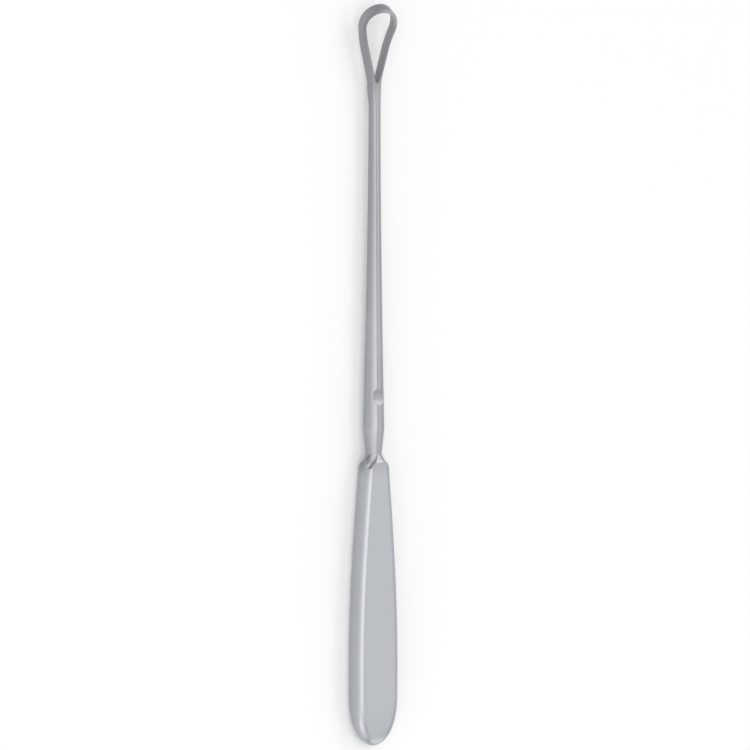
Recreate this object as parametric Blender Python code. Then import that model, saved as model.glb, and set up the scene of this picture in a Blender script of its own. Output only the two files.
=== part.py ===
# Uterine curette: one forged and ground piece of steel, lying on the back of its handle.
# +Y runs along the tool towards the loop, +X goes across the handle and +Z is the front, with
# the finger dimple. Lengths are in metres. "Down" is a distance down the tool's middle line
# from the crown of the loop.
from math import asin, cos, exp, pi, radians, sin, sqrt, tan

import bmesh
import bpy
from mathutils import Vector

MM = 0.001

# loop: a band of steel bent to a teardrop, leaned forwards and curled at the crown
CROWN_RADIUS = 6.1 * MM
SIDE_ANGLE = radians(15.1)
BAND_THICKNESS = 0.8 * MM
RIM_THICKNESS = 0.75 * MM
RIM_SWELL = 0.45 * MM
CROWN_THICKNESS = 0.75 * MM
BAND_DEPTH = 3.45 * MM
NOTCH_RADIUS = 0.75 * MM
LEAN = radians(1.6)
CROWN_LEAN = radians(41.0)
CURL_LENGTH = 14.0 * MM
EDGE_RADIUS = 0.15 * MM

# neck: from the foot of the loop to the round shank
NECK_WIDTH = 2.95 * MM
NECK_LENGTH = 6.8 * MM
NOTCH_FLOOR = 1.0 * MM
LOOP_SET_BACK = 0.25 * MM

# shank: thinnest near the loop, swelling towards the handle, a narrow hollow down its front
SHANK_DIAMETER = 3.68 * MM
SHANK_EVEN = 5.3 * MM
TAPER_LENGTH = 93.9 * MM
TAPER_POWER = 1.5
SWELL_DIAMETER = 6.5 * MM
SWELL_LENGTH = 7.6 * MM
SWELL_ROUNDING = 0.25 * MM
WAIST_DIAMETER = 4.85 * MM
GROOVE_WIDTH = 1.15 * MM
GROOVE_HOLLOW = 0.06 * MM

# finger dimple on the front of the shank, a round cut straight across
DIMPLE_FROM_WAIST = 17.6 * MM
DIMPLE_RADIUS = 4.4 * MM
DIMPLE_DEPTH = 0.85 * MM

# shoulder and handle: a flat bar with rounded corners that widens to a rounded end
FACE_RISE = 2.7 * MM
CORNER_RISE = 4.6 * MM
CORNER_TURN = radians(43.0)
CORNER_SPREAD = radians(36.0)
CORNER_POWER = 3
SHOULDER_HOLLOW = 0.9
CORNER_HOLLOW = 1.3
HANDLE_THICKNESS = 7.2 * MM
HANDLE_TOP_WIDTH = 8.5 * MM
HANDLE_WIDTH = 15.5 * MM
HANDLE_SPREAD = 63.3 * MM
HANDLE_EVEN = 6.8 * MM
HANDLE_CORNER = 2.0 * MM
SIDE_CROWN = 0.2 * MM
END_LENGTH = 17.3 * MM
END_POWER = 2.9
FACE_POWER = 4.0
END_CORNER = 1.2 * MM

# how finely the surface is divided
FACE_STEPS = 8
CORNER_STEPS = 5
WALL_STEPS = 4
LEG_STEPS = 8
CROWN_STEPS = 26
RIM_STEPS = 2
NECK_ROWS = 7
TAPER_ROWS = 18
SWELL_ROWS = 8
SHOULDER_ROWS = 10
HANDLE_ROWS = 12
END_ROWS = 14
CUTTER_STEPS = 96
SHARP_ANGLE = radians(28.0)

# powers with which the shoulder's corners fade over the flat faces and the sides
FACE_FADE = 6
WALL_FADE = 2

# points nearer than this are one point, and the loop's fillet is never smaller
WELD = 0.001 * MM
LEAST_GAP = 0.01 * MM

STEEL = (0.62, 0.63, 0.65, 1.0)

# the opening of the loop: a smaller round crown, sides alongside the band and a round foot
OPENING_RADIUS = CROWN_RADIUS - BAND_THICKNESS
OPENING_CENTRE = CROWN_THICKNESS + OPENING_RADIUS
OPENING_SPREAD = OPENING_RADIUS * cos(SIDE_ANGLE)
NOTCH_CENTRE = (OPENING_CENTRE + OPENING_RADIUS * sin(SIDE_ANGLE)
                + (OPENING_SPREAD - NOTCH_RADIUS * cos(SIDE_ANGLE)) / tan(SIDE_ANGLE)
                - NOTCH_RADIUS * sin(SIDE_ANGLE))

# stations down the middle line
FOOT = NOTCH_CENTRE + NOTCH_RADIUS + NOTCH_FLOOR
NECK_END = FOOT + NECK_LENGTH
TAPER_START = NECK_END + SHANK_EVEN
SWELL = TAPER_START + TAPER_LENGTH
WAIST = SWELL + SWELL_LENGTH
WIDEST = WAIST + FACE_RISE + HANDLE_SPREAD
END_START = WIDEST + HANDLE_EVEN
DIMPLE = WAIST - DIMPLE_FROM_WAIST


def middle_line(down):
    """Gives the middle line's place along Y, its height and its forward lean."""
    if down >= NECK_END:
        return FOOT - down, 0.0, 0.0
    if down >= FOOT:
        part = (NECK_END - down) / NECK_LENGTH
        height = part * part * (part - 1) * NECK_LENGTH * tan(LEAN)
        height -= part * part * (3 - 2 * part) * LOOP_SET_BACK
        return FOOT - down, height, LEAN * part * part
    straight = FOOT - max(down, CURL_LENGTH)
    along = straight * cos(LEAN)
    height = straight * sin(LEAN) - LOOP_SET_BACK
    if down >= CURL_LENGTH:
        return along, height, LEAN
    curl = (CROWN_LEAN - LEAN) / CURL_LENGTH
    lean = LEAN + curl * (CURL_LENGTH - down)
    return along + (sin(lean) - sin(LEAN)) / curl, height + (cos(LEAN) - cos(lean)) / curl, lean


def placed(across, down, front):
    """A point at a distance across the tool, down its middle line and out to its front."""
    along, height, lean = middle_line(down)
    return Vector((across, along - front * sin(lean), height + front * cos(lean)))


def outer_half(down):
    """Half width of a leg's outside and the sideways share of its slope, with the fillet to the neck."""
    spread = CROWN_RADIUS * cos(SIDE_ANGLE)
    tangent = CROWN_RADIUS * (1 + sin(SIDE_ANGLE))
    gap = NECK_WIDTH / 2 - spread + (FOOT - tangent) * tan(SIDE_ANGLE)
    fillet = max(gap, LEAST_GAP) / (1 / cos(SIDE_ANGLE) - 1)
    up = FOOT - down
    if up < fillet * sin(SIDE_ANGLE):
        return NECK_WIDTH / 2 + fillet - sqrt(fillet ** 2 - up ** 2), up / fillet
    return spread - (down - tangent) * tan(SIDE_ANGLE), sin(SIDE_ANGLE)


def crown_arc(radius, centre):
    """The round top of an outline from its right to its left tangent point, with outward directions."""
    arc = []
    for step in range(CROWN_STEPS + 1):
        turn = -SIDE_ANGLE + (pi + 2 * SIDE_ANGLE) * step / CROWN_STEPS
        arc.append((radius * cos(turn), centre - radius * sin(turn), cos(turn), -sin(turn)))
    return arc


def mirrored(side):
    """The left side of an outline from its right side, in the opposite order."""
    return [(-across, down, -out, drop) for across, down, out, drop in reversed(side)]


def outer_edge():
    """The outside of the loop from its right foot over the crown to its left foot."""
    tangent = CROWN_RADIUS * (1 + sin(SIDE_ANGLE))
    right = []
    for step in range(LEG_STEPS):
        down = FOOT + (tangent - FOOT) * step / LEG_STEPS
        half, slope = outer_half(down)
        right.append((half, down, sqrt(1 - slope ** 2), slope))
    return right + crown_arc(CROWN_RADIUS, CROWN_RADIUS) + mirrored(right)


def inner_edge():
    """The closed outline of the opening, from the left end of its round foot."""
    foot = []
    for step in range(FACE_STEPS):
        turn = pi + SIDE_ANGLE + (pi - 2 * SIDE_ANGLE) * step / FACE_STEPS
        across, drop = cos(turn), -sin(turn)
        foot.append((NOTCH_RADIUS * across, NOTCH_CENTRE + NOTCH_RADIUS * drop, across, drop))
    low = NOTCH_CENTRE + NOTCH_RADIUS * sin(SIDE_ANGLE)
    high = OPENING_CENTRE + OPENING_RADIUS * sin(SIDE_ANGLE)
    right = []
    for step in range(LEG_STEPS):
        down = low + (high - low) * step / LEG_STEPS
        half = OPENING_SPREAD + (high - down) * tan(SIDE_ANGLE)
        right.append((half, down, cos(SIDE_ANGLE), sin(SIDE_ANGLE)))
    return foot + right + crown_arc(OPENING_RADIUS, OPENING_CENTRE) + mirrored(right[1:])


def edge_profile():
    """The band's edge from front to back, as (distance into the steel, nearness to the front, height)."""
    level = BAND_DEPTH / 2
    front, back = [], []
    for step in range(CORNER_STEPS + 1):
        turn = pi / 2 * step / CORNER_STEPS
        inset = EDGE_RADIUS * (1 - sin(turn))
        front.append((inset, 1.0, level - EDGE_RADIUS * (1 - cos(turn))))
        back.append((inset, 0.0, -level + EDGE_RADIUS * (1 - cos(turn))))
    wall = []
    for step in range(1, WALL_STEPS):
        part = step / WALL_STEPS
        wall.append((0.0, 1 - part, (level - EDGE_RADIUS) * (1 - 2 * part)))
    return front + wall + back[::-1]


def opened(point, inset, nearness):
    """A point of the opening moved into the steel, less far at the near rim, which swells over the crown."""
    across, down, out, drop = point
    move = inset + nearness * (BAND_THICKNESS - RIM_THICKNESS - RIM_SWELL * (1 - drop) / 2)
    return across + move * out, down + move * drop


def bell(turn):
    """A bell curve of the turn round the handle's corner from its face."""
    return exp(-(abs(turn - CORNER_TURN) / CORNER_SPREAD) ** CORNER_POWER)


def corner_shares():
    """How much each point of bar_section belongs to a corner, fading over the faces and the sides."""
    half = []
    for step in range(FACE_STEPS):
        half.append(bell(0.0) * (2 * step / FACE_STEPS - 1) ** FACE_FADE)
    for step in range(CORNER_STEPS):
        half.append(bell(pi / 2 * step / CORNER_STEPS))
    for step in range(WALL_STEPS):
        half.append(bell(pi / 2) * (1 - 2 * step / WALL_STEPS) ** WALL_FADE)
    for step in range(CORNER_STEPS):
        half.append(bell(pi / 2 * (1 - step / CORNER_STEPS)))
    return half + half


def bar_section(half_width, half_depth, corner, crown):
    """A flat bar's section as (across, front), from the left end of its front face."""
    flat = half_width - corner - crown
    half = []
    for step in range(FACE_STEPS):
        half.append((flat * (2 * step / FACE_STEPS - 1), half_depth))
    for step in range(CORNER_STEPS):
        turn = pi / 2 * step / CORNER_STEPS
        half.append((flat + corner * sin(turn), half_depth - corner * (1 - cos(turn))))
    for step in range(WALL_STEPS):
        part = 1 - 2 * step / WALL_STEPS
        half.append((flat + corner + crown * (1 - part ** 2), (half_depth - corner) * part))
    for step in range(CORNER_STEPS):
        turn = pi / 2 * step / CORNER_STEPS
        half.append((flat + corner * cos(turn), corner * (1 - sin(turn)) - half_depth))
    return half + [(-across, -front) for across, front in half]


def shank_section(diameter):
    """A round section with the hollow down its front, point for point with bar_section."""
    radius = diameter / 2
    half_angle = asin(GROOVE_WIDTH / diameter)
    level = radius * cos(half_angle)
    section = []
    for step in range(FACE_STEPS):
        part = 2 * step / FACE_STEPS - 1
        section.append((GROOVE_WIDTH / 2 * part, level - GROOVE_HOLLOW * (1 - part ** 2)))
    rest = FACE_STEPS + 4 * CORNER_STEPS + 2 * WALL_STEPS
    for step in range(rest):
        turn = pi / 2 - half_angle - 2 * (pi - half_angle) * step / rest
        section.append((radius * cos(turn), radius * sin(turn)))
    return section


def shank_diameter(down):
    """Diameter of the shank: even, then a taper up to the swelling, then a fall to the waist."""
    part = max(down - TAPER_START, 0.0) / TAPER_LENGTH
    taper = SHANK_DIAMETER + (SWELL_DIAMETER - SHANK_DIAMETER) * part ** TAPER_POWER
    fall = WAIST_DIAMETER + (SWELL_DIAMETER - WAIST_DIAMETER) * (WAIST - down) / SWELL_LENGTH
    near = max(1 - abs(taper - fall) / SWELL_ROUNDING, 0.0)
    return min(taper, fall) - near ** 2 * SWELL_ROUNDING / 4


def handle_half(down):
    """Half width of the handle above its rounded end."""
    part = min(max((down - WAIST - FACE_RISE) / HANDLE_SPREAD, 0.0), 1.0)
    return (HANDLE_TOP_WIDTH + (HANDLE_WIDTH - HANDLE_TOP_WIDTH) * sin(pi / 2 * part)) / 2


def shaft_rows():
    """Rows of points from the foot of the loop down to the last ring before the handle's tip."""
    foot = bar_section(NECK_WIDTH / 2, BAND_DEPTH / 2, EDGE_RADIUS, 0.0)
    top = bar_section(HANDLE_TOP_WIDTH / 2, HANDLE_THICKNESS / 2, HANDLE_CORNER, SIDE_CROWN)
    rows = []
    for row in range(NECK_ROWS):
        part = row / NECK_ROWS
        blend = part * part * (3 - 2 * part)
        down = FOOT + NECK_LENGTH * part
        round_points = shank_section(SHANK_DIAMETER)
        rows.append([placed(bx + (rx - bx) * blend, down, bz + (rz - bz) * blend)
                     for (bx, bz), (rx, rz) in zip(foot, round_points)])
    turn_down = SWELL - SWELL_LENGTH / 2
    stations = [NECK_END + (turn_down - NECK_END) * row / TAPER_ROWS for row in range(TAPER_ROWS)]
    stations += [turn_down + (WAIST - turn_down) * row / SWELL_ROWS for row in range(SWELL_ROWS)]
    for down in stations:
        rows.append([placed(x, down, z) for x, z in shank_section(shank_diameter(down))])
    waist = shank_section(WAIST_DIAMETER)
    rises = [FACE_RISE + (CORNER_RISE - FACE_RISE) * share for share in corner_shares()]
    hollows = [SHOULDER_HOLLOW + CORNER_HOLLOW * share for share in corner_shares()]
    for row in range(SHOULDER_ROWS):
        part = row / SHOULDER_ROWS
        points = []
        for (rx, rz), (bx, bz), rise, hollow in zip(waist, top, rises, hollows):
            blend = part ** hollow
            points.append(placed(rx + (bx - rx) * blend, WAIST + rise * part, rz + (bz - rz) * blend))
        rows.append(points)
    for row in range(HANDLE_ROWS + 1):
        points = []
        for index, rise in enumerate(rises):
            down = WAIST + rise + (END_START - WAIST - rise) * row / HANDLE_ROWS
            x, z = bar_section(handle_half(down), HANDLE_THICKNESS / 2, HANDLE_CORNER, SIDE_CROWN)[index]
            points.append(placed(x, down, z))
        rows.append(points)
    for row in range(1, END_ROWS):
        part = sin(pi / 2 * row / END_ROWS)
        wide = sqrt(1 - part ** END_POWER)
        deep = sqrt(1 - part ** FACE_POWER)
        corner = (HANDLE_CORNER + END_CORNER * part ** 2) * deep
        ring = bar_section(HANDLE_WIDTH / 2 * wide, HANDLE_THICKNESS / 2 * deep, corner, SIDE_CROWN * deep)
        rows.append([placed(x, END_START + END_LENGTH * part, z) for x, z in ring])
    return rows


def skin(mesh, rows, closed):
    """Covers rows of points with faces; closed rows also join their ends."""
    grid = [[mesh.verts.new(point) for point in row] for row in rows]
    count = len(grid[0])
    for upper, lower in zip(grid, grid[1:]):
        for index in range(count if closed else count - 1):
            after = (index + 1) % count
            mesh.faces.new((upper[index], upper[after], lower[after], lower[index]))
    return grid


def add_loop(mesh):
    """Adds the band of the loop: outside, opening and the two flat rims."""
    outer = outer_edge()
    inner = inner_edge()
    profile = edge_profile()
    skin(mesh, [[placed(x - inset * out, down - inset * drop, front) for x, down, out, drop in outer]
                for inset, _, front in profile], False)
    skin(mesh, [[placed(*opened(point, inset, nearness), front) for point in inner]
                for inset, nearness, front in profile], True)
    flat = NECK_WIDTH / 2 - EDGE_RADIUS
    base = [(flat * (2 * step / FACE_STEPS - 1), FOOT) for step in range(FACE_STEPS)]
    for end in (0, -1):
        inset, nearness, front = profile[end]
        ring = base + [(x - inset * out, down - inset * drop) for x, down, out, drop in outer]
        hole = [opened(point, inset, nearness) for point in inner]
        # both outlines start at the left foot; the outer one meets its own start at its last point
        ring = ring[:len(hole)]
        rows = []
        for step in range(RIM_STEPS + 1):
            part = step / RIM_STEPS
            rows.append([placed(ox + (ix - ox) * part, od + (di - od) * part, front)
                         for (ox, od), (ix, di) in zip(ring, hole)])
        skin(mesh, rows, True)


def build_curette():
    """The whole curette as one closed body, before the dimple is cut."""
    mesh = bmesh.new()
    add_loop(mesh)
    grid = skin(mesh, shaft_rows(), True)
    tip = mesh.verts.new(placed(0.0, END_START + END_LENGTH, 0.0))
    last = grid[-1]
    for index, vert in enumerate(last):
        mesh.faces.new((vert, last[(index + 1) % len(last)], tip))
    bmesh.ops.remove_doubles(mesh, verts=mesh.verts, dist=WELD)
    bmesh.ops.recalc_face_normals(mesh, faces=mesh.faces)
    heights = [vert.co.y for vert in mesh.verts]
    shift = Vector((0.0, -(min(heights) + max(heights)) / 2, HANDLE_THICKNESS / 2))
    bmesh.ops.translate(mesh, verts=mesh.verts, vec=shift)
    return mesh, shift


def dimple_cutter(shift):
    """A round bar across the front of the shank that cuts the finger dimple."""
    mesh = bmesh.new()
    level = shank_diameter(DIMPLE) / 2 - DIMPLE_DEPTH + DIMPLE_RADIUS
    rows = []
    for side in (-1, 1):
        ring = []
        for step in range(CUTTER_STEPS):
            turn = 2 * pi * step / CUTTER_STEPS
            ring.append(placed(side * SWELL_DIAMETER, DIMPLE + DIMPLE_RADIUS * cos(turn),
                               level + DIMPLE_RADIUS * sin(turn)) + shift)
        rows.append(ring)
    grid = skin(mesh, rows, True)
    mesh.faces.new(grid[0])
    mesh.faces.new(grid[1])
    bmesh.ops.recalc_face_normals(mesh, faces=mesh.faces)
    return mesh


def make_object(name, mesh):
    """Puts a built mesh into the scene under a name."""
    data = bpy.data.meshes.new(name)
    mesh.to_mesh(data)
    mesh.free()
    item = bpy.data.objects.new(name, data)
    bpy.context.scene.collection.objects.link(item)
    return item


def steel_material():
    """Satin stainless steel."""
    material = bpy.data.materials.new("satin_steel")
    material.use_nodes = True
    shader = material.node_tree.nodes["Principled BSDF"]
    shader.inputs["Base Color"].default_value = STEEL
    shader.inputs["Metallic"].default_value = 1.0
    shader.inputs["Roughness"].default_value = 0.35
    return material


def main():
    """Clears the scene and builds the curette."""
    for old in list(bpy.data.objects):
        bpy.data.objects.remove(old, do_unlink=True)
    mesh, shift = build_curette()
    curette = make_object("curette", mesh)
    curette.data.materials.append(steel_material())
    cutter = make_object("dimple_cutter", dimple_cutter(shift))
    cutter.hide_render = True
    cutter.display_type = "WIRE"
    cut = curette.modifiers.new("dimple", "BOOLEAN")
    cut.operation = "DIFFERENCE"
    cut.solver = "EXACT"
    cut.object = cutter
    for polygon in curette.data.polygons:
        polygon.use_smooth = True
    curette.data.set_sharp_from_angle(angle=SHARP_ANGLE)


main()
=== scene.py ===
"""Uterine curette of satin stainless steel, resting on the back of its handle.

+Y runs along the tool towards the loop, +X goes across the handle and +Z is the front, with the
finger dimple. Lengths are in metres. "Down" is a distance down the tool's middle line from the
crown of the loop, and "front" a distance out from that line towards the front.
"""

import logging
from dataclasses import dataclass, field
from enum import Enum
from typing import Any, Mapping

import bmesh
import bpy
import numpy as np
from mathutils import Matrix, Vector


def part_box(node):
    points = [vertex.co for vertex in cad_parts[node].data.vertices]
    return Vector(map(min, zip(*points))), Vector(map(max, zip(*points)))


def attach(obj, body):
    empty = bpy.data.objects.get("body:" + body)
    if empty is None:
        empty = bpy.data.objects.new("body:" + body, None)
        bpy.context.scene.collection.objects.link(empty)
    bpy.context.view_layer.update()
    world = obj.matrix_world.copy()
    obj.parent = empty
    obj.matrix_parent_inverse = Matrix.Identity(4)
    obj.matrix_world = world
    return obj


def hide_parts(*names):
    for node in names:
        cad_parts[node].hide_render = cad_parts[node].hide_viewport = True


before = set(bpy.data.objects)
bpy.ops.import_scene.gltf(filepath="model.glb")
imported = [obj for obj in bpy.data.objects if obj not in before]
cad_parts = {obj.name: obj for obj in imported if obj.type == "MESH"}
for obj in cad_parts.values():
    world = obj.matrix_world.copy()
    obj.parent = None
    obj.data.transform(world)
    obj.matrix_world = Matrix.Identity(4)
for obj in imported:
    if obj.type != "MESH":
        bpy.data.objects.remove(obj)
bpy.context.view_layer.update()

LOG = logging.getLogger("curette")
Array = np.ndarray
Pair = tuple[Array, Array]
Triple = tuple[float, float, float]
Inputs = Mapping[Any, Any]
MM = 0.001
TINY = 0.01 * MM


def smooth_step(part: Array) -> Array:
    """Returns 3t² - 2t³ of a share t held between 0 and 1."""
    held = np.clip(part, 0.0, 1.0)
    return held * held * (3.0 - 2.0 * held)


def smooth_minimum(one: Array, other: Array, rounding: float) -> Array:
    """Returns the lower height, less rounding/4 times the squared share of how near they are."""
    near = np.maximum(1.0 - np.abs(one - other) / rounding, 0.0)
    return np.minimum(one, other) - near * near * rounding / 4.0


def spaced(start: float, end: float, count: int) -> Array:
    """Returns evenly spaced numbers from the start up to the end, which is left out."""
    return np.linspace(start, end, count, endpoint=False)


def linked(item: bpy.types.Object) -> bpy.types.Object:
    """Returns the object, linked into the scene."""
    bpy.context.scene.collection.objects.link(item)
    return item


@dataclass(frozen=True)
class Division:
    """How many steps the surfaces are divided into."""

    face: int = 24
    corner: int = 12
    wall: int = 12
    leg: int = 44
    crown: int = 112
    rim: int = 6
    neck: int = 26
    taper: int = 64
    dimple: int = 60
    swell: int = 40
    shoulder: int = 30
    handle: int = 56
    end: int = 44


STEPS = Division()


@dataclass(frozen=True)
class Patch:
    """A grid of surface points, row by row, how much of an edge each point lies on, and its painted light."""

    points: Array
    edge: Array
    closed: bool
    tone: Array | float = 0.0

    def faces(self, first: int) -> Array:
        """Lists the four corners of each face of the grid.

        A face joins a point, its neighbour in the row and the two below them; a closed grid also
        joins the last column to the first.

        Args:
            first: Index of the grid's first point.

        Returns:
            Rows of four point indices.
        """
        rows, columns = self.points.shape[:2]
        across = np.arange(columns if self.closed else columns - 1)
        after = (across + 1) % columns
        upper = first + np.arange(rows - 1)[:, None] * columns
        corners = [upper + across, upper + after, upper + columns + after, upper + columns + across]
        return np.stack(corners, axis=-1).reshape(-1, 4)


@dataclass(frozen=True)
class MiddleLine:
    """The line that carries the sections: straight, set back at the neck, curled at the crown."""

    foot: float
    neck_length: float = 6.8 * MM
    set_back: float = 0.25 * MM
    lean: float = np.radians(1.6)
    crown_lean: float = np.radians(41.0)
    curl_length: float = 14.0 * MM

    def follow(self, down: Array) -> tuple[Array, Array, Array]:
        """Follows the line down from the crown.

        Below the neck the line is straight along Y. In the neck its height is a cubic of the
        share of the neck left. Along the loop it is straight at its lean, and beyond the curl's
        start its lean grows evenly with length, which makes a circular arc.

        Args:
            down: Distances down from the crown.

        Returns:
            Places along Y from the loop's foot, heights and leans.
        """
        part = np.clip((self.foot + self.neck_length - down) / self.neck_length, 0.0, 1.0)
        neck = part**2 * (part - 1.0) * self.neck_length * np.tan(self.lean)
        neck = neck - part**2 * (3.0 - 2.0 * part) * self.set_back
        straight = self.foot - np.maximum(down, self.curl_length)
        curl = (self.crown_lean - self.lean) / self.curl_length
        bent = self.lean + curl * np.maximum(self.curl_length - down, 0.0)
        along = straight * np.cos(self.lean) + (np.sin(bent) - np.sin(self.lean)) / curl
        height = straight * np.sin(self.lean) - self.set_back + (np.cos(self.lean) - np.cos(bent)) / curl
        in_loop = down < self.foot
        return (
            np.where(in_loop, along, self.foot - down),
            np.where(in_loop, height, neck),
            np.where(in_loop, bent, self.lean * part**2),
        )

    def place(self, across: Array, down: Array, front: Array) -> Array:
        """Returns points across the tool, down its line and out to its front, square to the line."""
        along, height, lean = self.follow(down)
        return np.stack(np.broadcast_arrays(
            across, along - front * np.sin(lean), height + front * np.cos(lean)), axis=-1)


@dataclass(frozen=True)
class Outline:
    """An edge seen from the front: across, down, and its outward direction as out and drop."""

    across: Array
    down: Array
    out: Array
    drop: Array

    def mirrored(self) -> "Outline":
        """Returns the other side's outline, in the opposite order."""
        return Outline(-self.across[::-1], self.down[::-1], -self.out[::-1], self.drop[::-1])

    def parts(self) -> tuple[Array, Array, Array, Array]:
        """Returns the four arrays in their order."""
        return self.across, self.down, self.out, self.drop

    def joined(self, *others: "Outline") -> "Outline":
        """Returns this outline with others after it."""
        runs = [item.parts() for item in (self, *others)]
        return Outline(*(np.concatenate(part) for part in zip(*runs)))

    def moved(self, inset: Array) -> Pair:
        """Returns the across and down of the outline moved against its outward direction."""
        return self.across - inset * self.out, self.down - inset * self.drop

    @classmethod
    def arc(cls, radius: float, centre: float, turn: Array) -> "Outline":
        """Returns points of a circle on the middle line, at turns from +X towards the crown."""
        out, drop = np.cos(turn), -np.sin(turn)
        return cls(radius * out, centre + radius * drop, out, drop)


@dataclass(frozen=True)
class Loop:
    """The cutting loop: a band of steel bent to a teardrop."""

    crown_radius: float = 6.1 * MM
    side_angle: float = np.radians(15.1)
    band_thickness: float = 0.8 * MM
    rim_thickness: float = 0.75 * MM
    rim_swell: float = 0.45 * MM
    crown_thickness: float = 0.75 * MM
    band_depth: float = 3.45 * MM
    notch_radius: float = 0.75 * MM
    notch_floor: float = 1.0 * MM
    edge_radius: float = 0.15 * MM
    foot_width: float = 2.95 * MM
    rim_slope: float = 0.26 * MM
    slope_fade: float = 4.0 * MM
    slope_power: float = 4.0
    # Painted shade on the front rim, and a painted highlight on the right of its crown.
    rim_painted_shade: float = -1.1
    crown_painted_highlight: float = 2.6
    crown_highlight_turn: float = np.radians(40.0)
    # Painted shade on the band's outside.
    outside_painted_shade: float = -0.22
    worn_share: float = 0.35

    @property
    def opening_radius(self) -> float:
        """Radius of the opening's round crown."""
        return self.crown_radius - self.band_thickness

    @property
    def opening_centre(self) -> float:
        """Distance down to the middle of the opening's round crown."""
        return self.crown_thickness + self.opening_radius

    @property
    def opening_spread(self) -> float:
        """Half width of the opening where its sides leave its crown."""
        return self.opening_radius * np.cos(self.side_angle)

    @property
    def notch_centre(self) -> float:
        """Distance down to the middle of the round foot of the opening, where it meets both sides."""
        fall = (self.opening_spread - self.notch_radius * np.cos(self.side_angle)) / np.tan(self.side_angle)
        lift = (self.opening_radius - self.notch_radius) * np.sin(self.side_angle)
        return self.opening_centre + lift + fall

    @property
    def foot(self) -> float:
        """Distance down to where the loop ends and the neck begins."""
        return self.notch_centre + self.notch_radius + self.notch_floor

    @property
    def line(self) -> MiddleLine:
        """The tool's middle line."""
        return MiddleLine(self.foot)

    def leg(self) -> Outline:
        """Draws the right leg's outside from its foot up to the crown.

        The leg is a straight line at the side angle from the crown circle's tangent point, and a
        circular fillet turns it parallel to the tool at the foot.

        Returns:
            The outline, without the crown's first point.
        """
        spread = self.crown_radius * np.cos(self.side_angle)
        tangent = self.crown_radius * (1.0 + np.sin(self.side_angle))
        down = spaced(self.foot, tangent, STEPS.leg)
        gap = self.foot_width / 2.0 - spread + (self.foot - tangent) * np.tan(self.side_angle)
        fillet = max(gap, TINY) / (1.0 / np.cos(self.side_angle) - 1.0)
        rise = self.foot - down
        in_fillet = rise < fillet * np.sin(self.side_angle)
        rounded = self.foot_width / 2.0 + fillet - np.sqrt(np.maximum(fillet**2 - rise**2, 0.0))
        half = np.where(in_fillet, rounded, spread - (down - tangent) * np.tan(self.side_angle))
        slope = np.where(in_fillet, rise / fillet, np.sin(self.side_angle))
        return Outline(half, down, np.sqrt(1.0 - slope**2), slope)

    def crown(self, radius: float, centre: float) -> Outline:
        """Returns a round crown from its right to its left tangent point."""
        turn = np.linspace(-self.side_angle, np.pi + self.side_angle, STEPS.crown + 1)
        return Outline.arc(radius, centre, turn)

    def outer_edge(self) -> Outline:
        """Returns the loop's outside from its right foot over the crown to its left foot."""
        right = self.leg()
        return right.joined(self.crown(self.crown_radius, self.crown_radius), right.mirrored())

    def inner_edge(self) -> Outline:
        """Draws the closed outline of the opening from the left end of its round foot.

        A half circle for the foot, straight sides at the side angle and the round crown.

        Returns:
            The outline.
        """
        ends = (np.pi + self.side_angle, 2.0 * np.pi - self.side_angle)
        turn = spaced(*ends, STEPS.face)
        foot = Outline.arc(self.notch_radius, self.notch_centre, turn)
        low = self.notch_centre + self.notch_radius * np.sin(self.side_angle)
        high = self.opening_centre + self.opening_radius * np.sin(self.side_angle)
        down = spaced(low, high, STEPS.leg)
        half = self.opening_spread + (high - down) * np.tan(self.side_angle)
        outward = (np.full_like(down, turned(self.side_angle)) for turned in (np.cos, np.sin))
        right = Outline(half, down, *outward)
        inner = Outline(*(part[1:] for part in right.parts()))
        return foot.joined(right, self.crown(self.opening_radius, self.opening_centre), inner.mirrored())

    def edge_profile(self) -> tuple[Array, Array, Array, Array]:
        """Draws the band's edge from front to back, a quarter circle at each rim and a straight wall.

        Returns:
            Distances into the steel, nearness to the front rim, heights above the middle and the
            edge shares.
        """
        level = self.band_depth / 2.0
        turn = np.linspace(0.0, np.pi / 2.0, STEPS.corner + 1)
        part = np.linspace(0.0, 1.0, STEPS.wall + 1)[1:-1]
        inset = self.edge_radius * (1.0 - np.sin(turn))
        height = level - self.edge_radius * (1.0 - np.cos(turn))
        into = np.concatenate([inset, np.zeros_like(part), inset[::-1]])
        nearness = np.concatenate([np.ones_like(inset), 1.0 - part, np.zeros_like(inset)])
        heights = np.concatenate([height, (level - self.edge_radius) * (1.0 - 2.0 * part), -height[::-1]])
        worn = np.sin(2.0 * turn)
        return into, nearness, heights, np.concatenate([worn, np.zeros_like(part), worn[::-1]])

    def opened(self, inner: Outline, into: Array, nearness: Array) -> Pair:
        """Returns the opening moved into the steel, less at the front rim, whose swell grows to the crown."""
        swell = self.rim_swell * (1.0 - inner.drop) / 2.0
        return inner.moved(-into - nearness * (self.band_thickness - self.rim_thickness - swell))

    def grown(self, down: Array) -> Array:
        """Returns how far the rim's own shape and painted light have grown at distances down the tool."""
        return smooth_step((self.foot - down) / self.slope_fade)

    def painted_rim_light(self, ring: Outline, down: Array) -> Array:
        """Returns the front rim's painted light along a ring: painted shade, with a painted highlight on the
        right of its crown.
        """
        turned = ring.out * np.sin(self.crown_highlight_turn) - ring.drop * np.cos(self.crown_highlight_turn)
        return (self.rim_painted_shade + self.crown_painted_highlight * np.maximum(turned, 0.0) ** 2) * self.grown(down)

    def lowered(self, heights: Array, nearness: Array, down: Array) -> Array:
        """Returns heights less the front rim's slope, which dies out down the wall as a power."""
        return heights - self.rim_slope * self.grown(down) * nearness**self.slope_power

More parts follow.
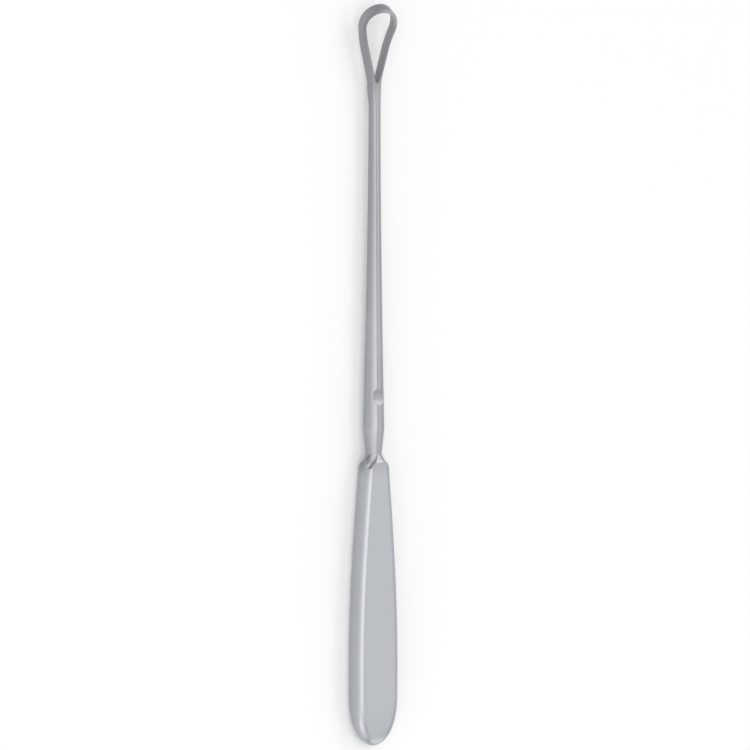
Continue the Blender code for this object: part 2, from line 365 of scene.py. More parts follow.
    def rim(self, outer: Outline, inner: Outline, end: int) -> Patch:
        """Covers one rim between the outside and the opening.

        Each point of the outer ring is joined to its fellow of the opening by a straight line. The
        front rim slopes down from the opening to the outside.

        Args:
            outer: The outside's outline.
            inner: The opening's outline.
            end: 0 for the front rim and -1 for the back one.

        Returns:
            The rim.
        """
        into, nearness, heights, _ = self.edge_profile()
        flat = self.foot_width / 2.0 - self.edge_radius
        base = flat * spaced(-1.0, 1.0, STEPS.face)
        across, down = outer.moved(into[end])
        hole_across, hole_down = self.opened(inner, into[end], nearness[end])
        count = len(hole_across)
        # The rim's painted light and shade, blended from the outside to the opening.
        outer_painted_light = np.concatenate([np.zeros_like(base), self.painted_rim_light(outer, down)])[:count]
        across = np.concatenate([base, across])[:count]
        down = np.concatenate([np.full_like(base, self.foot), down])[:count]
        part = np.linspace(0.0, 1.0, STEPS.rim + 1)[:, None]
        low = self.lowered(heights[end], nearness[end], down)
        level = low + (heights[end] - low) * part
        across = across + (hole_across - across) * part
        points = self.line.place(across, down + (hole_down - down) * part, level)
        tone = outer_painted_light + (self.painted_rim_light(inner, hole_down) - outer_painted_light) * part
        return Patch(points, np.zeros(points.shape[:2]), True, tone)

    def patches(self) -> list[Patch]:
        """Builds the band: its outside, the wall of its opening and both rims.

        Returns:
            The four surfaces.
        """
        outer, inner = self.outer_edge(), self.inner_edge()
        into, nearness, heights, worn = (item[:, None] for item in self.edge_profile())
        across, down = outer.moved(into)
        hole_across, hole_down = self.opened(inner, into, nearness)
        outside = self.line.place(across, down, self.lowered(heights, nearness, down))
        tunnel = self.line.place(hole_across, hole_down, heights)
        # Painted shade on the band's outside, darkest over the top of the crown.
        outside_shade = self.outside_painted_shade * np.clip(self.side_angle - outer.drop, 0.0, 1.0)
        walls = (
            (outside, False, np.where(nearness == 1.0, self.painted_rim_light(outer, down), outside_shade)),
            (tunnel, True, np.where(nearness == 1.0, self.painted_rim_light(inner, hole_down), 0.0)),
        )
        made = [
            Patch(points, np.broadcast_to(worn * self.worn_share, points.shape[:2]), closed, tone)
            for points, closed, tone in walls
        ]
        return made + [self.rim(outer, inner, end) for end in (0, -1)]


@dataclass(frozen=True)
class BarSection:
    """The section of a flat bar with round corners, from the left end of its front face.

    A point's across is the flat, the corner and the crown of the sides, each times its own share,
    and its front the half depth and the corner times theirs. The back half is the front half
    turned by 180 degrees.
    """

    corner_turn: float = np.radians(43.0)
    corner_spread: float = np.radians(36.0)
    corner_power: float = 3.0
    face_power: float = 6.0
    wall_power: float = 2.0
    upright_spread: float = np.radians(60.0)
    upright_power: float = 3.0
    side_power: float = 4.0
    flank_turn: float = np.radians(10.0)
    flank_spread: float = np.radians(22.0)

    def columns(self) -> tuple[Array, Array, Array]:
        """Works out where each column of the front half lies.

        Returns:
            Which stretch it lies on, its turn along it up to a quarter, and its place from 1 to -1.
        """
        counts = (STEPS.face, STEPS.corner, STEPS.wall, STEPS.corner)
        stretch = np.repeat(np.arange(4), counts)
        place = np.concatenate([np.arange(count) / count for count in counts])
        return stretch, np.pi / 2.0 * place, 1.0 - 2.0 * place

    def both(self, half: Array, sign: float = 1.0) -> Array:
        """Returns a half section's values followed by the other half's, times a sign."""
        return np.concatenate([half, sign * half])

    def shares(self) -> tuple[Array, Array, Array, Array, Array]:
        """Works out what each size does to each column.

        Returns:
            The shares of flat, corner and crown in across, and of half depth and corner in front.
        """
        stretch, turn, across = self.columns()
        flat = np.where(stretch == 0, -across, 1.0)
        corner = np.choose(stretch, (0.0, np.sin(turn), 1.0, np.cos(turn)))
        crown = np.where(stretch == 2, 1.0 - across**2, 0.0)
        depth = np.choose(stretch, (1.0, 1.0, across, -1.0))
        drop = np.choose(stretch, (0.0, np.cos(turn) - 1.0, -across, 1.0 - np.sin(turn)))
        return tuple(self.both(item, -1.0) for item in (flat, corner, crown, depth, drop))

    def bell(self, spread: float, face_power: float) -> Array:
        """Works out how near each column is to the middle of a corner.

        A bell curve of the turn round the corner: e to the minus of a power of the turn's
        difference from the middle, over the spread. It fades over the faces and sides as powers.

        Args:
            spread: How wide the bell is.
            face_power: How fast it fades over the wide faces.

        Returns:
            The nearness.
        """
        stretch, turn, across = self.columns()
        out = np.abs(across)
        turns = np.choose(stretch, (0.0, turn, np.pi / 2.0, np.pi / 2.0 - turn))
        fade = np.choose(stretch, (out**face_power, 1.0, out**self.wall_power, 1.0))
        away = np.abs(turns - self.corner_turn) / spread
        return self.both(np.exp(-(away**self.corner_power)) * fade)

    def corner_shares(self) -> Array:
        """Returns how much each column belongs to a corner."""
        return self.bell(self.corner_spread, self.face_power)

    def upright(self) -> Array:
        """Returns how far each column stays upright in the shoulder, before it turns outwards."""
        return self.bell(self.upright_spread, self.upright_power)

    def flank(self) -> Array:
        """Returns how near each column lies to where a corner meets its wide face."""
        stretch, turn, across = self.columns()
        turns = np.choose(stretch, (np.pi, turn, np.pi, np.pi / 2.0 - turn))
        bell = np.exp(-(((turns - self.flank_turn) / self.flank_spread) ** 2))
        return self.both(np.where(stretch == 0, np.abs(across) ** self.face_power, bell))

    def side(self) -> Array:
        """Returns how much of a side each column lies on, most in its middle."""
        stretch, _, across = self.columns()
        return self.both(np.where(stretch == 2, 1.0 - across**self.side_power, 0.0))

    def hollow(self) -> Array:
        """Returns how far into the front's hollow each column lies, 1 along its middle."""
        stretch, _, across = self.columns()
        return self.both(np.where(stretch == 0, 1.0 - across**2, 0.0), 0.0)

    def edge(self) -> Array:
        """Returns how much of an edge each column lies on, most in the middle of a corner."""
        stretch, turn, _ = self.columns()
        return self.both(np.where(stretch % 2 == 1, np.sin(2.0 * turn), 0.0))

    def draw(self, half_width: Array, half_depth: Any, corner: Any, crown: Any) -> Pair:
        """Draws the section at any number of sizes, each one number or a column of them.

        Args:
            half_width: Half widths, one for each row or for each point.
            half_depth: Half the bar's thickness.
            corner: Radius of its corners.
            crown: How far its sides bulge.

        Returns:
            Across and front of each point.
        """
        flat_share, corner_share, crown_share, depth_share, drop_share = self.shares()
        across = (half_width - corner - crown) * flat_share + corner * corner_share + crown * crown_share
        front = half_depth * depth_share + corner * drop_share
        return np.broadcast_arrays(across, front)


@dataclass(frozen=True)
class Dimple:
    """The finger dimple: a round cut straight across the front of the shank."""

    from_waist: float = 17.6 * MM
    radius: float = 4.4 * MM
    depth: float = 0.85 * MM
    softness: float = 0.16 * MM
    reach: float = 3.4 * MM
    shade_depth: float = 0.35 * MM
    # Painted shade in the dimple's far half and a painted highlight in its near half.
    far_painted_shade: float = -0.8
    near_painted_light: float = 0.35

    def press(self, front: Array, down: Array, middle: float, surface: float) -> Array:
        """Presses the dimple into the shank's front.

        The cut is a circle's lower arc along the tool; a point above it comes down to it, with
        the crease rounded.

        Args:
            front: Fronts of the shank's points.
            down: Their distances down the tool.
            middle: Distance down to the dimple's middle.
            surface: Front of the shank at the middle.

        Returns:
            The pressed fronts.
        """
        away = np.clip((down - middle) / self.radius, -1.0, 1.0)
        floor = surface - self.depth + self.radius * (1.0 - np.sqrt(1.0 - away**2))
        pressed = smooth_minimum(front, np.broadcast_to(floor, front.shape), self.softness)
        return np.where(np.abs(down - middle) < self.reach, pressed, front)

    def shade(self, lowered: Array, down: Array, middle: float) -> Array:
        """Returns the dimple's painted light where it was lowered: shade in its far half, a highlight in its
        near one.
        """
        near = smooth_step((down - middle) / self.reach / 2.0 + 0.5)
        return smooth_step(lowered / self.shade_depth) * (
            self.far_painted_shade + (self.near_painted_light - self.far_painted_shade) * near)


@dataclass(frozen=True)
class Shank:
    """The round shank: thinnest near the loop, swelling towards the handle, hollowed down its front."""

    start: float
    thin_diameter: float = 3.68 * MM
    even_length: float = 5.3 * MM
    taper_length: float = 93.9 * MM
    taper_power: float = 1.5
    swell_diameter: float = 6.5 * MM
    swell_length: float = 7.6 * MM
    swell_rounding: float = 0.25 * MM
    waist_diameter: float = 4.85 * MM
    hollow_width: float = 1.15 * MM
    hollow_depth: float = 0.06 * MM
    dimple: Dimple = field(default_factory=Dimple)

    @property
    def taper_start(self) -> float:
        """Distance down to where the shank begins to thicken."""
        return self.start + self.even_length

    @property
    def swell(self) -> float:
        """Distance down to the thickest place."""
        return self.taper_start + self.taper_length

    @property
    def waist(self) -> float:
        """Distance down to the waist above the handle."""
        return self.swell + self.swell_length

    @property
    def middle(self) -> float:
        """Distance down to the dimple's middle."""
        return self.waist - self.dimple.from_waist

    def diameter(self, down: Array) -> Array:
        """Works out the diameter: even, then a power curve to the swelling, then a straight fall.

        Args:
            down: Distances down the tool.

        Returns:
            Diameters.
        """
        part = np.maximum(down - self.taper_start, 0.0) / self.taper_length
        taper = self.thin_diameter + (self.swell_diameter - self.thin_diameter) * part**self.taper_power
        fall = (self.swell_diameter - self.waist_diameter) * (self.waist - down) / self.swell_length
        return smooth_minimum(taper, self.waist_diameter + fall, self.swell_rounding)

    def section(self, diameter: Array) -> Pair:
        """Draws the round section, point for point with the bar's.

        A shallow parabola under the chord of the hollow, and the rest of the circle at even
        angles.

        Args:
            diameter: Diameters as a column.

        Returns:
            Across and front of each point.
        """
        radius = np.asarray(diameter) / 2.0
        half_angle = np.arcsin(self.hollow_width / 2.0 / radius)
        part = spaced(-1.0, 1.0, STEPS.face)
        rest = STEPS.face + 4 * STEPS.corner + 2 * STEPS.wall
        turn = np.pi / 2.0 - half_angle - 2.0 * (np.pi - half_angle) * np.arange(rest) / rest
        chord = np.broadcast_to(self.hollow_width / 2.0 * part, (*turn.shape[:-1], len(part)))
        level = radius * np.cos(half_angle) - self.hollow_depth * (1.0 - part**2)
        return (
            np.concatenate([chord, radius * np.cos(turn)], axis=-1),
            np.concatenate([np.broadcast_to(level, chord.shape), radius * np.sin(turn)], axis=-1),
        )

    def stations(self) -> Array:
        """Returns the rows' distances down, closer together over the dimple and the swelling."""
        upper, lower = self.middle - self.dimple.reach, self.middle + self.dimple.reach
        return np.concatenate([
            spaced(self.start, upper, STEPS.taper),
            spaced(upper, lower, STEPS.dimple),
            spaced(lower, self.waist, STEPS.swell),
        ])

    def cut(self) -> tuple[Array, Array, Array, Array]:
        """Draws every row's section and presses the dimple in.

        Returns:
            Distances down, across, and the fronts before and after.
        """
        down = self.stations()[:, None]
        across, front = self.section(self.diameter(down))
        surface = float(self.diameter(np.array(self.middle))) / 2.0
        return down, across, front, self.dimple.press(front, down, self.middle, surface)

    def shade(self) -> Array:
        """Returns the dimple's painted shade and highlight at every point of the rows."""
        down, _, front, pressed = self.cut()
        return self.dimple.shade(front - pressed, down, self.middle)

    def rows(self, line: MiddleLine) -> Pair:
        """Returns the points of the shank's rows, and their edge shares, which are 0."""
        down, across, _, pressed = self.cut()
        return line.place(across, down, pressed), np.zeros(pressed.shape)


@dataclass(frozen=True)
class Neck:
    """The neck that turns the loop's flat foot into the round shank."""

    loop: Loop
    shank: Shank
    line: MiddleLine
    bar: BarSection

    def rows(self) -> Pair:
        """Builds the neck's rows, each a smooth blend of the foot's bar and the round section.

        Returns:
            Points, and the edge shares.
        """
        part = spaced(0.0, 1.0, STEPS.neck)[:, None]
        blend = smooth_step(part)
        half_width = np.array([self.loop.foot_width / 2.0])
        flat = self.bar.draw(half_width, self.loop.band_depth / 2.0, self.loop.edge_radius, 0.0)
        ring = self.shank.section(np.array([self.shank.thin_diameter]))
        across, front = (one + (other - one) * blend for one, other in zip(flat, ring))
        points = self.line.place(across, self.loop.foot + self.line.neck_length * part, front)
        return points, self.bar.edge() * (1.0 - blend)


@dataclass(frozen=True)
class Handle:
    """The handle: a flat bar with rounded corners that widens to a rounded end."""

    line: MiddleLine
    bar: BarSection
    waist: float
    face_rise: float = 2.7 * MM
    corner_rise: float = 4.6 * MM
    shoulder_hollow: float = 0.9
    corner_hollow: float = 1.3
    uprightness: float = 1.5
    # Painted shade on the sides by the shoulder.
    shoulder_painted_shade: float = -1.1
    # Painted highlight on the ribs' flanks, where they meet the wide faces.
    flank_painted_light: float = 0.4
    # Painted shade all round at the waist and at the top of the wide faces, and the length over which it
    # fades.
    waist_painted_shade: float = -0.55
    painted_shade_places: tuple[float, ...] = (0.0, 0.5, 0.9, 1.0)
    top_painted_shade: float = -0.5
    painted_shade_fade: float = 4.0 * MM
    thickness: float = 7.2 * MM
    top_width: float = 8.5 * MM
    width: float = 15.5 * MM
    spread: float = 63.3 * MM
    even_length: float = 6.8 * MM
    corner: float = 2.0 * MM
    side_crown: float = 0.2 * MM
    end_length: float = 17.3 * MM
    end_power: float = 3.1
    face_power: float = 3.4
    end_corner: float = 1.55 * MM
    end_dome: float = 0.22

    @property
    def top(self) -> float:
        """Distance down to where the wide faces begin."""
        return self.waist + self.face_rise

    @property
    def end_start(self) -> float:
        """Distance down to where the rounded end begins."""
        return self.top + self.spread + self.even_length

    def half_width(self, down: Array) -> Array:
        """Returns half widths above the rounded end, a quarter sine from the top's to the full."""
        part = np.clip((down - self.top) / self.spread, 0.0, 1.0)
        return (self.top_width + (self.width - self.top_width) * np.sin(np.pi / 2.0 * part)) / 2.0

    def rise(self) -> Array:
        """Returns the length of shoulder of each column, longest at the corners."""
        return self.face_rise + (self.corner_rise - self.face_rise) * self.bar.corner_shares()

    def drawn(self, half_width: Array) -> Pair:
        """Returns across and front of the bar at its full depth."""
        return self.bar.draw(half_width, self.thickness / 2.0, self.corner, self.side_crown)

    def end_parts(self) -> Array:
        """Returns the rows' shares of the rounded end, closer together towards the tip."""
        return np.sin(np.pi / 2.0 * np.linspace(0.0, 1.0, STEPS.end + 1)[1:])

    def stations(self) -> Array:
        """Returns the rows' distances down, as they are along the middle of a wide face."""
        return np.concatenate([
            spaced(self.waist, self.top, STEPS.shoulder),
            np.linspace(self.top, self.end_start, STEPS.handle + 1),
            self.end_start + self.end_length * self.end_parts(),
        ])

    def painted_side_shade(self, down: Array) -> Array:
        """Returns the painted shade on the sides by the shoulder, darkest where the wide faces begin."""
        places = [self.waist, self.top, self.top + self.painted_shade_fade]
        return np.interp(down, places, [0.0, self.shoulder_painted_shade, 0.0])

    def painted_ring_shade(self, down: Array, swell: float) -> Array:
        """Returns the painted shade all round from the swelling, darkest at the waist and at the faces' top.
        """
        places = [
            swell, *(self.waist + self.face_rise * np.array(self.painted_shade_places)), self.top + self.painted_shade_fade]
        return np.interp(down, places, [0.0, self.waist_painted_shade, self.waist_painted_shade, 0.0, self.top_painted_shade, 0.0])

    def shoulder(self, waist: Pair) -> Pair:
        """Builds the shoulder, where the round waist runs out into the bar's faces and corners.

        Each column goes from the waist's point to the bar's in its own length, longest at the
        corners. The change is a power of the share of that length, higher at the corners, which
        stay round and rise late. Across has a higher power there than front, so the ribs go down
        upright before they turn outwards.

        Args:
            waist: Across and front of the waist's section.

        Returns:
            Points, and the edge shares.
        """
        top = self.drawn(np.array([self.top_width / 2.0]))
        part = spaced(0.0, 1.0, STEPS.shoulder)[:, None]
        hollow = self.shoulder_hollow + self.corner_hollow * self.bar.corner_shares()
        powers = (hollow + self.uprightness * self.bar.upright(), hollow)
        across, front = (one + (other - one) * part**power for one, other, power in zip(waist, top, powers))
        return self.line.place(across, self.waist + self.rise() * part, front), self.bar.edge() * part

    def blade(self) -> Pair:
        """Builds the flat handle from the shoulder to the start of its end.

        Returns:
            Points, and the edge shares.
        """
        start = self.waist + self.rise()
        part = np.linspace(0.0, 1.0, STEPS.handle + 1)[:, None]
        down = start + (self.end_start - start) * part
        across, front = self.drawn(self.half_width(down))
        return self.line.place(across, down, front), np.broadcast_to(self.bar.edge(), down.shape)

    def end(self) -> Pair:
        """Builds the rounded end, whose width and depth shrink down to the tip.

        The width follows a superellipse and the depth one of a higher power. The corners grow
        towards the tip and shrink with the depth. The faces are domed: front falls by the square
        of the share across times the share of the end's length.

        Returns:
            Points, and the edge shares.
        """
        part = self.end_parts()[:, None]
        powers = (self.end_power, self.face_power)
        wide, deep = (np.sqrt(np.maximum(1.0 - part**power, 0.0)) for power in powers)
        corner = (self.corner + self.end_corner * part**2) * deep
        half_width = self.width / 2.0 * wide
        across, front = self.bar.draw(half_width, self.thickness / 2.0 * deep, corner, self.side_crown * deep)
        share = across / np.maximum(half_width, TINY)
        front = front * (1.0 - self.end_dome * (part * share) ** 2)
        return self.line.place(across, self.end_start + self.end_length * part, front), self.bar.edge() * deep

    def rows(self, waist: Pair) -> Pair:
        """Returns the points and edge shares of every row from the waist's section to the tip."""
        parts = (self.shoulder(waist), self.blade(), self.end())
        return tuple(np.concatenate(items) for items in zip(*parts))


class Signal:
    """A shader socket that takes part in Python arithmetic by adding Math nodes."""

    def __init__(self, bench: "Bench", socket: bpy.types.NodeSocket) -> None:
        """Wraps a socket of the bench's tree."""
        self.bench = bench
        self.socket = socket

    def __add__(self, other: Any) -> "Signal":
        """Returns this plus the other."""
        return self.bench.maths("ADD", self, other)

    __radd__ = __add__

    def __sub__(self, other: Any) -> "Signal":
        """Returns this less the other."""
        return self.bench.maths("SUBTRACT", self, other)

    def __rsub__(self, other: Any) -> "Signal":
        """Returns the other less this."""
        return self.bench.maths("SUBTRACT", other, self)

    def __mul__(self, other: Any) -> "Signal":
        """Returns this times the other."""
        return self.bench.maths("MULTIPLY", self, other)

    __rmul__ = __mul__


class Bench:
    """Builds one material's nodes."""

    def __init__(self, name: str) -> None:
        """Starts a material with its Principled shader and its output.

        Args:
            name: The material's name.
        """
        self.material = bpy.data.materials.new(name)
        self.material.use_nodes = True
        self.tree = self.material.node_tree
        self.shader = self.tree.nodes["Principled BSDF"]

    def node(self, kind: str, settings: Inputs, values: Inputs) -> bpy.types.Node:
        """Adds a node.

        Args:
            kind: The node's type name.
            settings: Its own settings, set first.
            values: Numbers, colours or signals for its inputs, by name or index.

        Returns:
            The node.
        """
        made = self.tree.nodes.new(kind)
        for name, value in settings.items():
            setattr(made, name, value)
        self.feed(made, values)
        return made

    def feed(self, node: bpy.types.Node, values: Inputs) -> None:
        """Sets or links a node's inputs.

        Args:
            node: The node.
            values: Numbers, colours or signals, by the input's name or index.
        """
        for name, value in values.items():
            if isinstance(value, Signal):
                self.tree.links.new(value.socket, node.inputs[name])
            else:
                node.inputs[name].default_value = value

    def signal(self, output: Any, kind: str, settings: Inputs, values: Inputs) -> Signal:
        """Returns one output of a new node, by its name or index."""
        return Signal(self, self.node(kind, settings, values).outputs[output])

    def maths(self, operation: str, *values: Any) -> Signal:
        """Returns the outcome of one Math node on numbers and signals."""
        return self.signal(0, "ShaderNodeMath", {"operation": operation}, dict(enumerate(values)))

    def place(self) -> Signal:
        """Returns the Object coordinates."""
        return self.signal("Object", "ShaderNodeTexCoord", {}, {})

    def stretched(self, place: Signal, scale: Triple) -> Signal:
        """Returns coordinates multiplied axis by axis."""
        return self.signal("Vector", "ShaderNodeVectorMath", {"operation": "MULTIPLY"}, {0: place, 1: scale})

    def noise(self, place: Signal, size: float, detail: float) -> Signal:
        """Returns noise from 0 to 1 with patches of about a size in metres."""
        values = {"Vector": place, "Scale": 1.0 / size, "Detail": detail}
        return self.signal("Fac", "ShaderNodeTexNoise", {}, values)

    def ramp(self, value: Signal, low: float, high: float) -> Signal:
        """Returns 0 below low, 1 above high and a smooth step between them."""
        values = {"Value": value, "From Min": low, "From Max": high}
        return self.signal("Result", "ShaderNodeMapRange", {"interpolation_type": "SMOOTHSTEP"}, values)

    def attribute(self, name: str) -> Signal:
        """Returns a number kept on the mesh's points."""
        return self.signal("Fac", "ShaderNodeAttribute", {"attribute_name": name}, {})

    def blend(self, share: Signal, one: Any, other: Any) -> Signal:
        """Returns a colour between two colours."""
        return self.signal(2, "ShaderNodeMix", {"data_type": "RGBA"}, {0: share, 6: one, 7: other})


@dataclass(frozen=True)
class SatinSteel:
    """Stainless steel with a blasted satin finish, finer on the handle than on the loop."""

    name: str = "satin_steel"
    handle: Triple = (0.447, 0.462, 0.489)
    shank: Triple = (0.388, 0.398, 0.422)
    loop: Triple = (0.345, 0.342, 0.363)
    swing: float = 0.32
    patch_weight: float = 0.5
    grain_weight: float = 0.5
    mark_weight: float = 0.4
    mark_share: float = 0.25
    painted_light_share: float = 0.45
    roughness: float = 0.39
    loop_roughness: float = 0.08
    detail: float = 2.0
    grain_detail: float = 3.0
    mottle: float = 9.0 * MM
    mottle_swing: float = 0.05
    grain: float = 0.22 * MM
    grain_swing: float = 0.08
    streak: float = 0.25 * MM
    streak_stretch: float = 0.04
    streak_swing: float = 0.05
    edge_polish: float = 0.05
    edge_light: float = 0.25
    bump: float = 0.05
    bump_depth: float = 0.01 * MM
    relief: float = 0.5
    loop_relief: float = 1.5
    loop_run: tuple[float, float] = (86.0 * MM, 94.0 * MM)
    shank_run: tuple[float, float] = (-28.0 * MM, -8.0 * MM)
    thin_run: tuple[float, float] = (5.0 * MM, 60.0 * MM)

    def shade(self, colour: Triple, share: float) -> tuple[float, float, float, float]:
        """Returns a colour made lighter by a share, as the shader takes it."""
        return (*(value * (1.0 + share) for value in colour), 1.0)

    def build(self) -> bpy.types.Material:
        """Builds the material.

        Patches, lengthwise streaks and a fine grain are three noises about 0. They shift the
        colour between its dark and light, the roughness and the bump. The painted light and shade
        kept on the mesh's points shift the colour too. The loop is rougher and the edges are a
        little smoother and lighter.

        Returns:
            The material.
        """
        bench = Bench(self.name)
        place = bench.place()
        patches = bench.noise(place, self.mottle, self.detail) - 0.5
        grain = bench.noise(place, self.grain, self.grain_detail) - 0.5
        lengthwise = bench.stretched(place, (1.0, self.streak_stretch, 1.0))
        streaks = bench.noise(lengthwise, self.streak, self.detail) - 0.5
        along = bench.signal("Y", "ShaderNodeSeparateXYZ", {}, {"Vector": place})
        runs = (self.loop_run, self.shank_run, self.thin_run)
        loop, shank, thin = (bench.ramp(along, *run) for run in runs)
        edge = bench.attribute("edge")
        marks = streaks * (1.0 - loop) + grain * loop
        share = patches * self.patch_weight + grain * self.grain_weight + marks * self.mark_weight
        share = (share + edge * self.edge_light) * self.mark_share
        # The painted light and shade kept on the mesh's points lighten or darken the colour.
        share = share + bench.attribute("tone") * self.painted_light_share + 0.5
        rough = patches * self.mottle_swing + grain * self.grain_swing + marks * self.streak_swing
        rough = rough + loop * self.loop_roughness - edge * self.edge_polish + self.roughness
        relief = grain * (loop * self.loop_relief + self.relief) + marks
        normal = bench.signal("Normal", "ShaderNodeBump", {}, {
            "Strength": self.bump, "Distance": self.bump_depth, "Height": relief,
        })
        colours = []
        for swing in (-self.swing, self.swing):
            palm, middle, tip = (self.shade(colour, swing) for colour in (self.handle, self.shank, self.loop))
            colours.append(bench.blend(thin, bench.blend(shank, palm, middle), tip))
        bench.feed(bench.shader, {
            "Base Color": bench.blend(share, *colours),
            "Metallic": 1.0,
            "Roughness": rough,
            "Normal": normal,
        })
        return bench.material


@dataclass(frozen=True)
class Curette:
    """The whole tool: one piece of steel with its loop, neck, shank and handle."""

    node: str = "curette"
    slot: str = "steel"
    flank_growth: float = 4.0
    weld: float = 0.001 * MM
    crease: float = np.radians(30.0)
    finish: SatinSteel = field(default_factory=SatinSteel)

    def painted_light_map(self, shank: Shank, handle: Handle) -> Array:
        """Works out the painted light and shade of every point from the neck to the tip.

        A painted highlight along the hollow grows evenly over the neck and fades smoothly along the
        shank. The sides get painted shade and the ribs' flanks a painted highlight by the shoulder,
        the dimple has its own painted shade and highlight, and a painted shade goes all round.

        Args:
            shank: The shank.
            handle: The handle.

        Returns:
            The painted light and shade, row by row.
        """
        bar, neck = handle.bar, STEPS.neck
        upper, lower = shank.stations(), handle.stations()
        down = np.concatenate([np.zeros(neck), upper, lower])
        # A painted highlight along the hollow of the shank's front.
        fade = 1.0 - smooth_step((upper - shank.start) / (shank.waist - shank.start))
        hollow_highlight = np.concatenate([np.linspace(0.0, 1.0, neck), fade, np.zeros_like(lower)])
        first = neck + len(upper)
        # A painted highlight grows on the ribs' flanks over the first rows of the shoulder.
        flank = np.zeros_like(down)
        grown = np.minimum(np.linspace(0.0, self.flank_growth, STEPS.shoulder), 1.0)
        flank[first:first + STEPS.shoulder] = handle.flank_painted_light * grown
        features = ((hollow_highlight, bar.hollow()), (handle.painted_side_shade(down), bar.side()), (flank, bar.flank()))
        tone = sum(strength[:, None] * columns for strength, columns in features)
        # The dimple's painted shade and highlight.
        tone[neck:first] += shank.shade()
        return tone + handle.painted_ring_shade(down, shank.swell)[:, None]

    def patches(self) -> list[Patch]:
        """Builds every surface of the tool, from the loop down to the tip.

        Returns:
            The surfaces, which meet at shared points.
        """
        loop = Loop()
        line, bar = loop.line, BarSection()
        shank = Shank(loop.foot + line.neck_length)
        handle = Handle(line, bar, shank.waist)
        waist = shank.section(np.array([shank.waist_diameter]))
        runs = (Neck(loop, shank, line, bar).rows(), shank.rows(line), handle.rows(waist))
        points, edge = (np.concatenate(items) for items in zip(*runs))
        return loop.patches() + [Patch(points, edge, True, self.painted_light_map(shank, handle))]

    def mesh(self) -> bpy.types.Mesh:
        """Welds the surfaces into one closed mesh, in its place in the frame.

        Returns:
            The mesh, with the edge shares and the painted light and shade on its points.
        """
        patches = self.patches()
        points = np.concatenate([patch.points.reshape(-1, 3) for patch in patches])
        starts = np.cumsum([0] + [patch.edge.size for patch in patches[:-1]])
        faces = np.concatenate([patch.faces(start) for patch, start in zip(patches, starts)])
        low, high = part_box(self.node)
        points[:, 1] += (low[1] + high[1] - points[:, 1].min() - points[:, 1].max()) / 2.0
        points[:, 2] += low[2] - points[:, 2].min()
        data = bpy.data.meshes.new(self.node + "_skin")
        data.from_pydata(points.tolist(), [], faces.tolist())
        # Keeps the edge shares and the painted light and shade on the points.
        for name in ("edge", "tone"):
            parts = [np.broadcast_to(getattr(patch, name), patch.edge.shape).ravel() for patch in patches]
            values = np.concatenate(parts).astype(np.float32)
            data.attributes.new(name, "FLOAT", "POINT").data.foreach_set("value", values)
        skin = bmesh.new()
        skin.from_mesh(data)
        bmesh.ops.remove_doubles(skin, verts=skin.verts, dist=self.weld)
        bmesh.ops.recalc_face_normals(skin, faces=skin.faces)
        skin.to_mesh(data)
        skin.free()
        data.polygons.foreach_set("use_smooth", np.ones(len(data.polygons), dtype=bool))
        data.set_sharp_from_angle(angle=self.crease)
        return data

    def build(self) -> bpy.types.Object:
        """Builds the tool, dresses it and sets it in the frame.

        Returns:
            The object.
        """
        item = linked(bpy.data.objects.new("curette_steel", self.mesh()))
        item.data.materials.append(self.finish.build())
        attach(item, "root")
        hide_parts(self.node)
        return item


class Place(Enum):
    """Where a studio light hangs, as degrees from straight above towards +X, and towards +Y."""

    KEY = (-15.0, 5.0)
    LEFT = (-62.0, -15.0)
    RIGHT = (34.0, -6.0)
    LOW_RIGHT = (70.0, 5.0)
    FAR = (42.0, 40.0)
    NEAR = (62.0, -52.0)
    NEAR_LEFT = (-38.0, -52.0)


@dataclass(frozen=True)
class SoftLight:
    """A large soft light that faces the tool."""

    place: Place
    size: tuple[float, float]
    radiance: float
    distance: float = 1.6

    @property
    def name(self) -> str:
        """The light's name."""
        return self.place.name.lower() + "_light"

    def build(self) -> None:
        """Hangs the light, with power pi times its radiance times its area."""
        data = bpy.data.lights.new(self.name, "AREA")
        data.shape = "RECTANGLE"
        data.size, data.size_y = self.size
        data.energy = self.radiance * np.pi * self.size[0] * self.size[1]
        lamp = linked(bpy.data.objects.new(self.name, data))
        across, along = (np.radians(turn) for turn in self.place.value)
        away = Vector((np.sin(across) * np.cos(along), np.sin(along), np.cos(across) * np.cos(along)))
        lamp.location = away * self.distance
        turned = Matrix.Rotation(across, 4, "Y") @ Matrix.Rotation(-along, 4, "X")
        lamp.rotation_euler = turned.to_euler()
        lamp.visible_camera = False


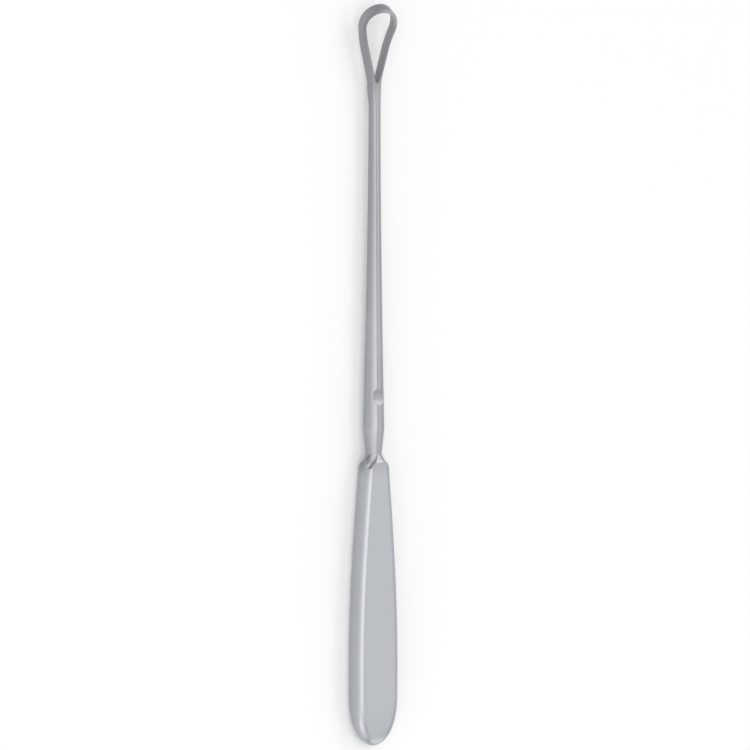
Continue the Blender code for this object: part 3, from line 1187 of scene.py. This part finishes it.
@dataclass(frozen=True)
class Studio:
    """The pale floor, the sky and the soft lights."""

    floor_size: float = 6.0
    floor_lines: int = 5
    floor_roughness: float = 0.9
    floor_colour: tuple[float, float, float, float] = (0.74, 0.74, 0.74, 1.0)
    floor_lift: float = 0.14
    sky: float = 0.45
    lights: tuple[SoftLight, ...] = (
        SoftLight(Place.KEY, (1.5, 1.7), 1.38),
        SoftLight(Place.LEFT, (1.4, 2.4), 0.75),
        SoftLight(Place.RIGHT, (0.6, 2.2), 1.02),
        SoftLight(Place.LOW_RIGHT, (0.7, 1.8), 0.6),
        SoftLight(Place.FAR, (0.7, 0.7), 2.1),
        SoftLight(Place.NEAR, (0.8, 0.7), 1.4),
        SoftLight(Place.NEAR_LEFT, (1.8, 1.3), 0.75),
    )

    def floor(self) -> bpy.types.Object:
        """Lays the floor, a flat square grid under the tool.

        Returns:
            The floor.
        """
        side = np.linspace(-self.floor_size / 2.0, self.floor_size / 2.0, self.floor_lines)
        across, along = np.meshgrid(side, side)
        level = np.zeros_like(across)
        patch = Patch(np.stack([across, along, level], axis=-1), level, False)
        data = bpy.data.meshes.new("floor")
        data.from_pydata(patch.points.reshape(-1, 3).tolist(), [], patch.faces(0).tolist())
        item = linked(bpy.data.objects.new("floor", data))
        bench = Bench("floor_paper")
        rays = bench.node("ShaderNodeLightPath", {}, {}).outputs
        names = ("Is Camera Ray", "Is Glossy Ray", "Is Transmission Ray")
        seen = sum(Signal(bench, rays[name]) for name in names)
        lift = (self.floor_lift, self.floor_lift, self.floor_lift, 1.0)
        bench.feed(bench.shader, {
            "Base Color": self.floor_colour,
            "Roughness": self.floor_roughness,
            "Specular IOR Level": 0.0,
            "Emission Color": bench.blend(seen, (0.0, 0.0, 0.0, 1.0), lift),
            "Emission Strength": 1.0,
        })
        data.materials.append(bench.material)
        return item

    def build(self) -> None:
        """Builds the floor, the sky and the lights."""
        self.floor()
        world = bpy.data.worlds.new("sky")
        bpy.context.scene.world = world
        world.use_nodes = True
        background = world.node_tree.nodes["Background"]
        background.inputs["Color"].default_value = (1.0, 1.0, 1.0, 1.0)
        background.inputs["Strength"].default_value = self.sky
        for light in self.lights:
            light.build()


@dataclass(frozen=True)
class Viewpoint:
    """The camera of the photograph: high on the left, level with the tool's middle, far away."""

    turn: float = np.radians(-34.0)
    roll: float = np.radians(0.13)
    frame_width: float = 231.75 * MM
    aim_across: float = 0.32 * MM
    aim_along: float = 0.03 * MM
    aim_height: float = 3.6 * MM
    lens: float = 200.0
    sensor: float = 36.0
    clip: tuple[float, float] = (0.01, 20.0)

    def build(self) -> bpy.types.Object:
        """Places the camera so that its frame covers the given width at the tool.

        Returns:
            The camera.
        """
        data = bpy.data.cameras.new("camera")
        data.lens, data.sensor_width = self.lens, self.sensor
        data.clip_start, data.clip_end = self.clip
        camera = linked(bpy.data.objects.new("camera", data))
        turned = Matrix.Rotation(self.turn, 4, "Y") @ Matrix.Rotation(self.roll, 4, "Z")
        distance = self.frame_width * self.lens / self.sensor
        turn = turned.to_3x3()
        aim = Vector((0.0, 0.0, self.aim_height)) + turn @ Vector((self.aim_across, self.aim_along, 0.0))
        camera.matrix_world = Matrix.Translation(aim + turn @ Vector((0.0, 0.0, distance))) @ turned
        bpy.context.scene.camera = camera
        return camera


def main() -> None:
    """Builds the curette, the studio and the camera, and logs the face count and the camera's place."""
    logging.basicConfig(level=logging.INFO, format="%(name)s: %(message)s")
    tool = Curette().build()
    LOG.info("%s: %d faces", tool.name, len(tool.data.polygons))
    Studio().build()
    LOG.info("studio: floor, sky and lights")
    camera = Viewpoint().build()
    LOG.info("%s: at %s", camera.name, tuple(round(value, 3) for value in camera.location))
    bpy.context.scene.view_settings.view_transform = "Standard"


if __name__ == "__main__":
    main()
